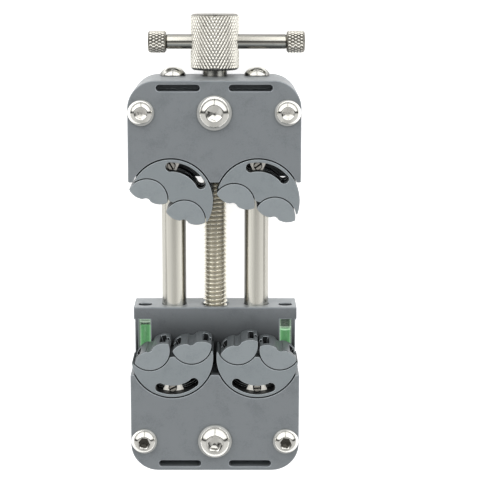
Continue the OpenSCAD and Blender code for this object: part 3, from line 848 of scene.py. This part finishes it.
def knurled_steel(name, axis, spot, radius):
    """Plated steel with bright points and painted shade in the grooves, by distance from the
    axis.
    """
    finish, tree, skin = blank_finish(name)
    wear = speckle(tree, 1300, 3)
    level = between(tree, off_axis(tree, axis, spot), 0.4, 1.0, radius - 0.8 * KNURL_DEPTH,
                    radius)
    both = reckoned(tree, "ADD", level, between(tree, wear, -0.08, 0.08))
    dark, light = (paint(*colour) for colour in KNURL_SHADES)
    surfaced(tree, skin, shaded(tree, both, dark, light, 0.4, 1.0),
             between(tree, wear, 0.2, 0.34), wear, 0.04, 0.02 * MM)
    return finish


def turned_ends(mesh, axis):
    """Marks the smooth ends and chamfers of a knurled piece for their own finish."""
    for face in mesh.polygons:
        face.material_index = 1 if abs(face.normal[axis]) > STEEP else 0


def knurled(radius, length, edge, lean, place):
    """The mesh of a knurled piece, with grooves spaced alike on every radius."""
    starts = round(tau * radius / KNURL_STEP)
    return bar_mesh(knurl_tree, {
        "Radius": radius, "Length": length, "Edge": edge, "Depth": KNURL_DEPTH, "Lean": lean,
        "Pitch": KNURL_PITCH, "Starts": starts, "Around": KNURL_POINTS * starts,
        "Along": round(length / KNURL_PITCH * 2 * KNURL_POINTS)}, place)


def across_x(x, y, z):
    """Lays what stands along +z down to run along +x from a point."""
    return Matrix.Translation((x, y, z)) @ Matrix.Rotation(pi / 2, 4, "Y")


knurl_finish = knurled_steel("knurl_steel", 1, (0, 0, AXIS_Z), KNOB_R)
end_finish = polished("knob_end_turned", (136, 134, 128), 0.3, (1, 1, 1), 0.08)
knurl_tree = turned_tree("knurl", diamonds, ("Pitch", "Starts", "Lean"))
knob = stood("knob", knurled(KNOB_R, KNOB_STOP - KNOB_START, KNOB_EDGE, KNURL_LEAN,
                             along_y(0, KNOB_START, AXIS_Z)))
drill_rings = [(0, -BORE_REACH), (MOUTH_R, -BORE_REACH), (MOUTH_R, -MOUTH_TO),
               (BORE_R, -MOUTH_FROM), (BORE_R, MOUTH_FROM), (MOUTH_R, MOUTH_TO),
               (MOUTH_R, BORE_REACH), (0, BORE_REACH)]
drill = stood("drill", kept(lathe(drill_rings, SMALL_ROUND), "drill",
                            across_x(0, BAR_Y, AXIS_Z)))
bore = knob.modifiers.new("bore", "BOOLEAN")
bore.operation = "DIFFERENCE"
bore.object = drill
bored = softened(worked(knob, drill), KNOB_SHARP)
turned_ends(bored, 1)
put("knurled_knob", bored, "lead_screw", (knurl_finish, end_finish),
    ("thumb_knob",))

# Bar through the knob, with its caps
# A polished steel bar that slides through the knob; a small knurled cap pressed on each
# end keeps it from falling out.

BAR_START = span("bar_cap_left", 0)[1]
BAR_STOP = span("bar_cap_right", 0)[0]
BAR_EDGE = 0.4 * MM
CAP_R = 4.5 * MM
CAP_EDGE = 0.8 * MM
# Painted reflections: greys across the bar, from the side toward the head to the far one
BAR_REFLECTION_BANDS = [(-1, 130), (-0.85, 150), (-0.7, 120), (-0.55, 160), (-0.38, 225), (-0.26, 245),
             (-0.12, 160), (0, 100), (0.12, 165), (0.24, 254), (0.62, 254), (0.74, 200),
             (0.86, 95), (1, 95)]

cap_finish = knurled_steel("cap_knurl_steel", 0, (0, BAR_Y, AXIS_Z), CAP_R)
bar_reflection_finish = reflection_banded("bar_painted_reflections", 1, BAR_Y, BAR_R, BAR_REFLECTION_BANDS, 0.16)
put("cross_bar", kept(lathe(bar_rings(BAR_R, BAR_STOP - BAR_START, BAR_EDGE)), "bar",
                      across_x(BAR_START, BAR_Y, AXIS_Z)),
    "tommy_bar", (bar_reflection_finish,), ("tommy_bar",))
for hand in ("left", "right"):
    start, stop = span(f"bar_cap_{hand}", 0)
    cap = knurled(CAP_R, stop - start, CAP_EDGE, 0.0, across_x(start, BAR_Y, AXIS_Z))
    turned_ends(cap, 0)
    put(f"cap_{hand}", cap, "tommy_bar", (cap_finish, end_finish),
        (f"bar_cap_{hand}",))

# Tongues and slotted pins
# Bright ground steel tongues fixed in the jaw plates, brighter still by a painted glow. A slotted
# steel pin through each one passes the curved slot of a rocker and holds it.

PIN_R = 1.7 * MM
PIN_X = span("head_tongue_pins", 0)[1] - PIN_R
PIN_Y = {place: centre(f"{place}_tongue_pins", 1) for place in ("head", "slide")}
PIN_LOW, PIN_HIGH = span("head_tongue_pins", 2)
PIN_L = PIN_HIGH - PIN_LOW
PIN_EDGE = 0.3 * MM
PIN_SLOT_W = 0.65 * MM
PIN_SLOT_DEPTH = 1.0 * MM
SAW_L = 4 * PIN_R
# Only what lies within this of the top is the pin's turned end
PIN_END = 0.01 * MM
PIN_TURNS = {"head": (-60, 35), "slide": (25, 2)}
# Painted light: the tongues glow a little, more in the slide
TONGUE_GLOW = {"head": 0.2, "slide": 0.6}


def slotted_pin(place):
    """A pin with a broken edge and a screwdriver slot across its upper end."""
    pin = stood("pin", kept(lathe(bar_rings(PIN_R, PIN_L, PIN_EDGE), SMALL_ROUND), "pin"))
    blade = bmesh.new()
    bmesh.ops.create_cube(blade, size=1, matrix=Matrix.Translation((0, 0, PIN_L)) @
                          Matrix.Diagonal((SAW_L, PIN_SLOT_W, 2 * PIN_SLOT_DEPTH, 1)))
    saw = stood("saw", kept(blade, "saw"))
    slot = pin.modifiers.new("slot", "BOOLEAN")
    slot.object = saw
    mesh = worked(pin, saw)
    mesh.transform(place)
    return mesh


pin_finish = polished("pin_turned", (196, 193, 186), 0.42, (1, 1, 1), 0.15)
# Painted shade: the pins' sides, low in the rockers' slots, are almost black
pin_side_shade_finish = polished("pin_side_shade", (36, 35, 33), 0.4, (1, 1, 1), 0.15)
for place in ("head", "slide"):
    tongue_finish = polished(f"{place}_tongue_ground", (246, 244, 238), 0.34, (1, 0.1, 1), 0.1)
    skin = tongue_finish.node_tree.nodes["Principled BSDF"]
    skin.inputs["Emission Color"].default_value = paint(236, 234, 226)
    skin.inputs["Emission Strength"].default_value = TONGUE_GLOW[place]
    for slot in frame["nodes"][f"{place}_rocker_tongues"].material_slots:
        slot.material = tongue_finish
    pair = bmesh.new()
    for side, turn in zip((-1, 1), PIN_TURNS[place]):
        at = Matrix.Translation((side * PIN_X, PIN_Y[place], PIN_LOW))
        pair.from_mesh(slotted_pin(at @ Matrix.Rotation(radians(turn), 4, "Z")))
    pins = kept(pair, "pins")
    for face in pins.polygons:
        face.material_index = 0 if face.center.z > PIN_HIGH - PIN_END else 1
    put(f"{place}_slotted_pins", pins, place, (pin_finish, pin_side_shade_finish),
        (f"{place}_tongue_pins",))

# Jaw keys
# Little steel keys pressed into the rockers, two in each, almost black. Their
# T-shaped heads lie in the jaws' T-slots, and the small jaws turn on them.

key_finish = polished("key_almost_black", (44, 43, 41), 0.36, (1, 1, 0.1), 0.1)
for place in ("head", "slide"):
    for hand in ("left", "right"):
        for slot in frame["nodes"][f"{place}_jaw_keys_{hand}"].material_slots:
            slot.material = key_finish

# Level vials
# Clear acrylic vials with domed ends, filled with green liquid but for a small bubble and
# sealed with a plug, lying behind the windows of the slide's apron.

VIAL_R = 2.7 * MM
VIAL_DOME = 0.7 * MM
VIAL_ROUND = 64
LIQUID_R = 1.4 * MM
LIQUID_DOME = 0.6 * MM
DOME_RINGS = 6
# Painted light: the acrylic glows from this distance off the axis on, and in a ring beside the
# bubble
VIAL_CLEAR = 1.5 * MM
VIAL_GLOW = 0.5
RING_OFF = {"left": 1.7 * MM, "right": -0.2 * MM}
RING_REACH = (0.2 * MM, 0.5 * MM)


def clear_acrylic(name, ring):
    """Acrylic with painted light that glows along the vial's sides and in a ring at a place along
    it.
    """
    finish, tree, skin = blank_finish(name)
    wisps = speckle(tree, 300, 2)
    tree.links.new(shaded(tree, wisps, paint(226, 246, 228), paint(242, 253, 243)),
                   skin.inputs["Base Color"])
    tree.links.new(between(tree, wisps, 0.03, 0.1), skin.inputs["Roughness"])
    skin.inputs["Transmission Weight"].default_value = 0.95
    skin.inputs["IOR"].default_value = 1.49
    place = parts_of(tree)
    aside = reckoned(tree, "SUBTRACT", reckoned(tree, "ABSOLUTE", place[0]), VIAL_X)
    sides = between(tree, reckoned(tree, "ABSOLUTE", aside), 0.02, VIAL_GLOW, VIAL_CLEAR, VIAL_R)
    along = reckoned(tree, "ABSOLUTE", reckoned(tree, "SUBTRACT", place[1], ring))
    glow = reckoned(tree, "MAXIMUM", sides, between(tree, along, VIAL_GLOW, 0, *RING_REACH))
    skin.inputs["Emission Color"].default_value = paint(206, 230, 206)
    tree.links.new(glow, skin.inputs["Emission Strength"])
    return finish


def green_liquid(name):
    """Thick green liquid, a little clear, with a faint painted glow from within."""
    finish, tree, skin = blank_finish(name)
    wisps = speckle(tree, 240, 2, (1, 0.3, 1))
    tree.links.new(shaded(tree, wisps, paint(110, 176, 120), paint(142, 208, 150)),
                   skin.inputs["Base Color"])
    tree.links.new(between(tree, wisps, 0.15, 0.3), skin.inputs["Roughness"])
    skin.inputs["Transmission Weight"].default_value = 0.15
    skin.inputs["Emission Color"].default_value = paint(104, 182, 118)
    skin.inputs["Emission Strength"].default_value = 0.2
    return finish


def domed(radius, length, end):
    """Rings of a vial with rounded ends."""
    turns = [pi / 2 * n / DOME_RINGS for n in range(1, DOME_RINGS + 1)]
    rise = [(radius - end + end * sin(turn), end - end * cos(turn)) for turn in turns]
    fall = [(r, length - height) for r, height in reversed(rise)]
    return [(0, 0)] + rise + fall + [(0, length)]


liquid = green_liquid("vial_liquid")
for side, hand in ((-1, "left"), (1, "right")):
    fill_start, fill_stop = span(f"vial_liquid_{hand}", 1)
    tube = kept(lathe(domed(VIAL_R, VIAL_STOP - VIAL_START, VIAL_DOME), VIAL_ROUND), "vial",
                along_y(side * VIAL_X, VIAL_START, VIAL_Z))
    acrylic = clear_acrylic(f"vial_acrylic_{hand}", fill_stop + RING_OFF[hand])
    put(f"level_vial_{hand}", tube, "slide", (acrylic,), (f"vial_tube_{hand}",))
    fill = kept(lathe(domed(LIQUID_R, fill_stop - fill_start, LIQUID_DOME), SMALL_ROUND), "fill",
                along_y(side * VIAL_X, fill_start, VIAL_Z))
    put(f"level_liquid_{hand}", fill, "slide", (liquid,),
        (f"vial_liquid_{hand}",))
plug_finish = anodised("plug_rubber", (34, 36, 37), 3, 0.8)
plug_skin = plug_finish.node_tree.nodes["Principled BSDF"]
plug_skin.inputs["Metallic"].default_value = 0
plug_skin.inputs["Specular IOR Level"].default_value = 0.1
for slot in frame["nodes"]["vial_plugs"].material_slots:
    slot.material = plug_finish

# Stage: floor, soft light and camera
# A plain white floor that keeps the shadow, a white tent of light around it with a bright
# panel behind the object, and two soft lamps.

FLOOR_HALF = 3.0
FLOOR_GAP = 0.05 * MM
# The floor's own light, as the eye and mirrors see it and as it lights the object
FLOOR_SEEN, FLOOR_GIVEN = 0.72, 0.2
# Strength of the tent in the middle of its front and at its sides, on its rear panel, on the
# panel's foot and in the gaps between them
WALL_MIDDLE = 0.66
WALL_SIDE = 0.86
PANEL = 1.6
SKIRT = 0.2
SEAM = 0.03
# Where each change runs, as parts of the direction along y, x and z
FRONT_ENDS = (-0.14, -0.03)
WALL_TURNS = (0.25, 0.6)
PANEL_STARTS = (0.09, 0.19)
PANEL_SPLIT = (0.018, 0.04)
PANEL_RISES = (0.1, 0.24)
MIDDLE_Y = -46.9 * MM
LAMP_AIM = (0, MIDDLE_Y, 20 * MM)
LAMP_OFF, LAMP_UP = 0.5, 0.6
LAMP_SIZE = 0.5
LAMP_POWER = 0.9
# The camera looks down on a point of the object from this far off
CAMERA_AIM = Vector((6.1 * MM, MIDDLE_Y, 36 * MM))
CAMERA_OFF = 0.614
LOOK_BACK = Vector((0, 0.187, 0.982)).normalized()
LENS = 111.6
SENSOR = 36
SHIFT = 0.04
CLIP = 0.01


def floor_white(name):
    """Matt white with a faint light of its own, and clear from below."""
    finish, tree, skin = blank_finish(name)
    ray = tree.nodes.new("ShaderNodeLightPath").outputs
    eye = reckoned(tree, "MAXIMUM", ray["Is Camera Ray"], ray["Is Glossy Ray"])
    eye = reckoned(tree, "MAXIMUM", eye, ray["Is Transmission Ray"])
    skin.inputs["Base Color"].default_value = (0.86, 0.86, 0.86, 1)
    skin.inputs["Roughness"].default_value = 0.9
    given, seen = (joined(tree, "ShaderNodeEmission", {"Color": (1, 1, 1, 1), "Strength": light})
                   for light in (FLOOR_GIVEN, FLOOR_SEEN))
    lit = joined(tree, "ShaderNodeMixShader", {0: eye, 1: given, 2: seen})
    both = joined(tree, "ShaderNodeAddShader", {0: skin.outputs[0], 1: lit})
    below = joined(tree, "ShaderNodeNewGeometry", out="Backfacing")
    clear = joined(tree, "ShaderNodeBsdfTransparent")
    sided = joined(tree, "ShaderNodeMixShader", {0: below, 1: both, 2: clear})
    tree.links.new(sided, tree.nodes["Material Output"].inputs["Surface"])
    return finish


def light_tent(name):
    """A surround that is plain white to the eye and a tent of soft light to the object."""
    world = bpy.data.worlds.new(name)
    world.use_nodes = True
    sky = world.node_tree
    sky.nodes.clear()
    ray = sky.nodes.new("ShaderNodeLightPath").outputs
    seen = reckoned(sky, "MAXIMUM", ray["Is Camera Ray"], ray["Is Transmission Ray"])
    aim = parts_of(sky, "Generated")
    aside = reckoned(sky, "ABSOLUTE", aim[0])
    front = between(sky, aim[1], 1, 0, *FRONT_ENDS)
    wall = between(sky, aside, WALL_MIDDLE - SEAM, WALL_SIDE - SEAM, *WALL_TURNS)
    raised = between(sky, aim[2], SKIRT, PANEL - SEAM, *PANEL_RISES)
    panel = reckoned(sky, "MULTIPLY", between(sky, aim[1], 0, 1, *PANEL_STARTS),
                     between(sky, aside, 0, 1, *PANEL_SPLIT))
    panel = reckoned(sky, "MULTIPLY", panel, raised)
    tent = reckoned(sky, "ADD", reckoned(sky, "MULTIPLY_ADD", front, wall, panel), SEAM)
    soft = joined(sky, "ShaderNodeBackground", {"Color": (1, 0.995, 0.98, 1), "Strength": tent})
    white = joined(sky, "ShaderNodeBackground", {"Color": (1, 1, 1, 1), "Strength": 1.0})
    mixed = joined(sky, "ShaderNodeMixShader", {0: seen, 1: soft, 2: white})
    sky.links.new(mixed, sky.nodes.new("ShaderNodeOutputWorld").inputs["Surface"])
    return world


def softbox(name, spot, target):
    """A square lamp at a spot, turned to its target."""
    lamp = bpy.data.lights.new(name, "AREA")
    lamp.shape = "RECTANGLE"
    lamp.size = LAMP_SIZE
    lamp.size_y = LAMP_SIZE
    lamp.energy = LAMP_POWER
    box = stood(name, lamp)
    box.location = spot
    box.rotation_euler = (Vector(target) - Vector(spot)).to_track_quat("-Z", "Y").to_euler()


floor_mesh = bpy.data.meshes.new("floor")
floor_mesh.from_pydata([(x * FLOOR_HALF, y * FLOOR_HALF, -FLOOR_GAP) for x, y in
                        ((-1, -1), (1, -1), (1, 1), (-1, 1))], [], [(0, 1, 2, 3)])
floor_mesh.materials.append(floor_white("floor_white"))
floor = stood("floor", floor_mesh)
bpy.context.scene.world = light_tent("surround")
for side, hand in ((-1, "left"), (1, "right")):
    softbox(f"{hand}_box", (side * LAMP_OFF, LAMP_OFF, LAMP_UP), LAMP_AIM)

camera_data = bpy.data.cameras.new("camera")
camera_data.lens = LENS
camera_data.sensor_width = SENSOR
camera_data.shift_x = SHIFT
camera_data.clip_start = CLIP
camera = stood("camera", camera_data)
camera.location = CAMERA_AIM + CAMERA_OFF * LOOK_BACK
camera.rotation_euler = (-asin(LOOK_BACK.y), 0, 0)
bpy.context.scene.camera = camera
bpy.context.scene.view_settings.view_transform = "Standard"
